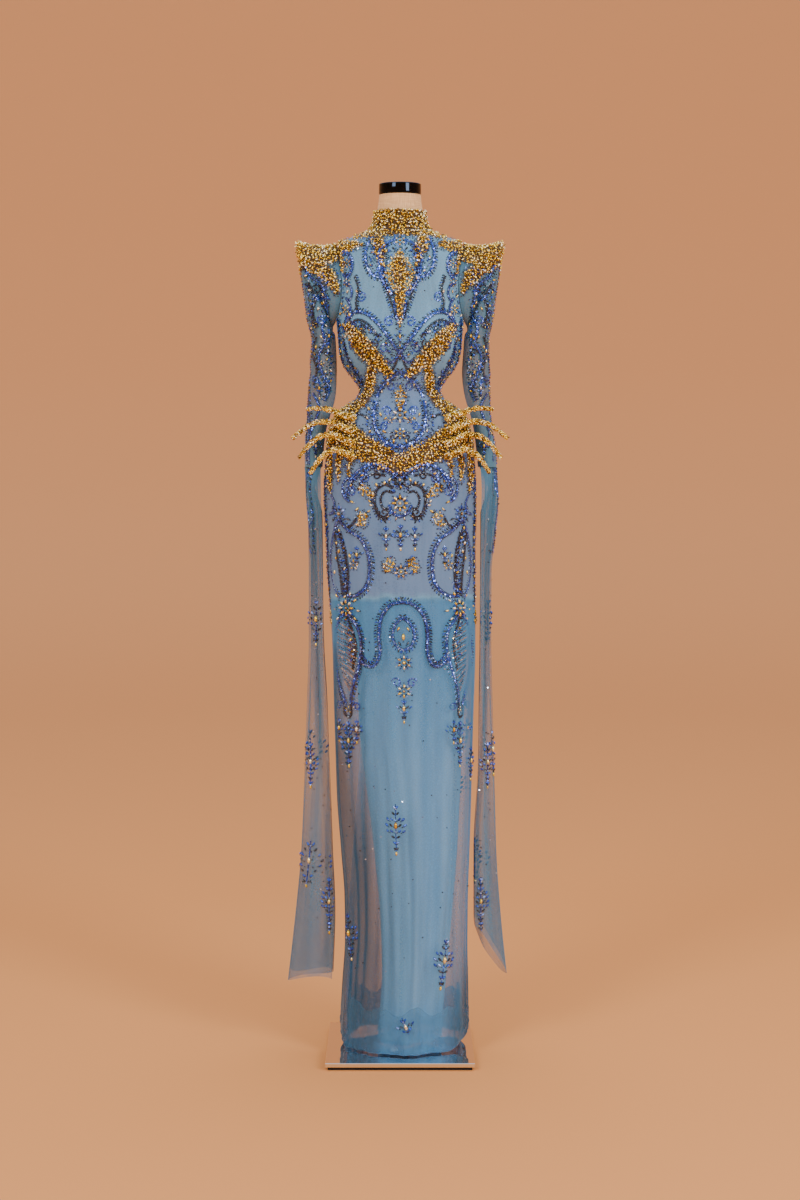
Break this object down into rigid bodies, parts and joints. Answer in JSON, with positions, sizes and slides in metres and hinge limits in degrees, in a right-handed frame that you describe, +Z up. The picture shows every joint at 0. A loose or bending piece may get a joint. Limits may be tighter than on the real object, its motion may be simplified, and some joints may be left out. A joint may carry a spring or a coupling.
{
  "type": "beaded evening gown on a dress form",
  "caption": "Full-length sheer gown with standing collar, pointed sleeves with trailing panels, and stone beadwork, shown on a limbless dress form with a square mirror base.",
  "frame": {"origin": "centre of the underside of the square base, on the floor", "axes": "+Z up; the gown's front faces -Y; +X is to the right of someone who looks at the front"},
  "size_m": [0.4391, 0.29, 1.7313],
  "materials": {
    "blue_tulle": "sheer dusty blue tulle",
    "beaded_tulle": "sheer dusty blue tulle with sewn gold, blue and black beadwork",
    "gold_stones": "faceted gold and amber resin stones",
    "form_linen": "matt cream linen cover",
    "black_chrome": "black gloss",
    "satin_steel": "satin",
    "mirror_steel": "mirror polish",
    "black_rubber": "matt"
  },
  "bodies": {
    "root": {"inner_skirt": "blue_tulle", "streamer_left": "blue_tulle", "streamer_right": "blue_tulle", "back_placket": "blue_tulle", "bodice_front": "beaded_tulle", "bodice_back_left": "beaded_tulle", "bodice_back_right": "beaded_tulle", "sleeve_left": "beaded_tulle", "sleeve_right": "beaded_tulle", "skirt_front": "beaded_tulle", "skirt_back": "beaded_tulle", "collar": "gold_stones", "hip_spray_upper_left": "gold_stones", "hip_spray_upper_right": "gold_stones", "hip_spray_outer_left": "gold_stones", "hip_spray_outer_right": "gold_stones", "hip_spray_middle_left": "gold_stones", "hip_spray_middle_right": "gold_stones", "hip_spray_lower_left": "gold_stones", "hip_spray_lower_right": "gold_stones", "dress_form": "form_linen", "neck_cap": "black_chrome", "stand_pole": "satin_steel", "base_plate": "mirror_steel", "base_pad": "black_rubber"}
  },
  "joints": []
}
